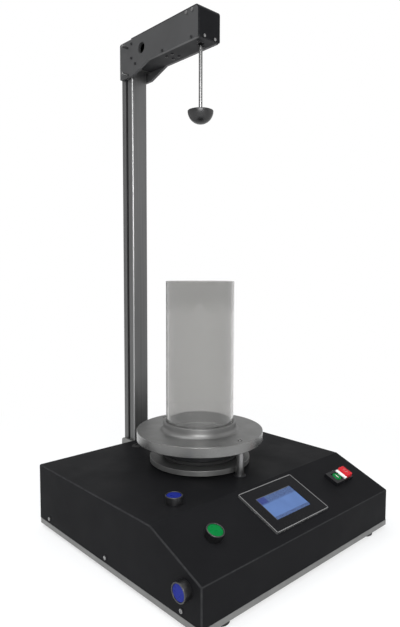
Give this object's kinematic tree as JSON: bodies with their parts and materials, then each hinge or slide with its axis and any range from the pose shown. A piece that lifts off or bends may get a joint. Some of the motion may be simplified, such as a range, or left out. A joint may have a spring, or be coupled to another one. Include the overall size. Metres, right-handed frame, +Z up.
{
  "type": "falling dart impact tester",
  "caption": "Bench impact tester that drops a hemispherical dart down a clear guard tube onto film held by a lifting ring clamp, with a slotted column, release head and sloping control panel.",
  "frame": {"origin": "bottom centre of the whole object, on the surface it stands on", "axes": "+Z up along the column, -Y towards the sloping control panel, +X to the right seen from the panel"},
  "size_m": [0.522, 0.5184, 1.0132],
  "materials": {
    "black_powder_coat": "fine black powder coat",
    "dark_head_coat": "dark satin coat",
    "column_anodised": "grey anodised extrusion",
    "clear_anodised": "turned and satin anodised",
    "base_aluminium": "milled plate",
    "bright_steel": "ground and plated steel",
    "zinc_steel": "zinc plated steel",
    "black_chrome": "black chrome",
    "dart_chrome": "dark polished",
    "magnet_case": "dark polished steel",
    "black_screws": "black oxide",
    "black_rubber": "soft black rubber",
    "black_plastic": "moulded black plastic",
    "panel_black": "smooth black bezel",
    "screen_glass": "lit touch screen",
    "smoked_acrylic": "smoked clear acrylic",
    "board_green": "circuit board",
    "button_blue": "blue moulded cap",
    "button_green": "green moulded cap",
    "button_red": "red moulded cap",
    "lamp_white": "white lamp lens"
  },
  "bodies": {
    "frame": {"air_inlet": "zinc_steel", "air_valve": "zinc_steel", "base_cover": "black_powder_coat", "base_plate": "base_aluminium", "bracket_screws": "black_screws", "button_bezels": "black_chrome", "button_contacts": "black_plastic", "button_nuts": "zinc_steel", "cable_grommet": "black_rubber", "catch_well": "clear_anodised", "column_brackets": "base_aluminium", "column_cap": "black_plastic", "column_extrusion": "column_anodised", "column_support": "zinc_steel", "control_board": "board_green", "cover_rails": "zinc_steel", "cover_screws": "black_screws", "dart_pad": "black_rubber", "foot_screws": "zinc_steel", "lift_cylinders": "zinc_steel", "lower_clamp_ring": "clear_anodised", "panel_bezel": "panel_black", "panel_frame": "clear_anodised", "panel_housing": "black_plastic", "panel_screen": "screen_glass", "post_bushes": "black_plastic", "power_inlet": "black_plastic", "power_supply": "zinc_steel", "rear_panel": "black_powder_coat", "rubber_feet": "black_rubber", "slot_nuts": "zinc_steel", "switch_block": "black_plastic", "switch_housing": "black_plastic", "switch_lamp": "lamp_white"},
    "upper_clamp": {"upper_clamp_ring": "clear_anodised", "shield_tube": "smoked_acrylic", "clamp_sleeve": "black_plastic", "clamp_gasket": "black_rubber", "lift_posts": "bright_steel", "post_screws": "bright_steel", "lift_pistons": "black_plastic"},
    "head": {"head_cheek_left": "dark_head_coat", "head_cheek_right": "dark_head_coat", "head_floor": "dark_head_coat", "head_cover": "black_powder_coat", "head_tie_bar": "base_aluminium", "head_guide_block": "base_aluminium", "head_screws": "black_screws", "head_set_screws": "bright_steel", "electromagnet": "magnet_case", "terminal_block": "black_plastic", "slide_keys": "zinc_steel"},
    "dart": {"dart_head": "dart_chrome", "dart_shaft": "bright_steel", "dart_tip": "bright_steel"},
    "raise_button": {"raise_button": "button_blue"},
    "release_button": {"release_button": "button_green"},
    "clamp_button": {"clamp_button": "button_blue"},
    "on_button": {"on_button": "button_green"},
    "off_button": {"off_button": "button_red"}
  },
  "joints": [
    {"name": "clamp_lift", "type": "slide", "parent": "frame", "child": "upper_clamp", "axis": [0, 0, 1], "range_m": [0, 0.04]},
    {"name": "head_height", "type": "slide", "parent": "frame", "child": "head", "axis": [0, 0, 1], "range_m": [-0.03, 0.01]},
    {"name": "dart_drop", "type": "slide", "parent": "head", "child": "dart", "axis": [0, 0, 1], "range_m": [-0.73, 0]},
    {"name": "raise_button_press", "type": "slide", "parent": "frame", "child": "raise_button", "axis": [0, 0, -1], "range_m": [0, 0.004], "stiffness_N_per_m": 300},
    {"name": "release_button_press", "type": "slide", "parent": "frame", "child": "release_button", "axis": [0, 0.3748, -0.9271], "range_m": [0, 0.004], "stiffness_N_per_m": 300},
    {"name": "clamp_button_press", "type": "slide", "parent": "frame", "child": "clamp_button", "axis": [1, 0, 0], "range_m": [0, 0.004], "stiffness_N_per_m": 300},
    {"name": "on_button_press", "type": "slide", "parent": "frame", "child": "on_button", "axis": [0, 0.3748, -0.9271], "range_m": [0, 0.003], "stiffness_N_per_m": 300},
    {"name": "off_button_press", "type": "slide", "parent": "frame", "child": "off_button", "axis": [0, 0.3748, -0.9271], "range_m": [0, 0.003], "stiffness_N_per_m": 300}
  ]
}
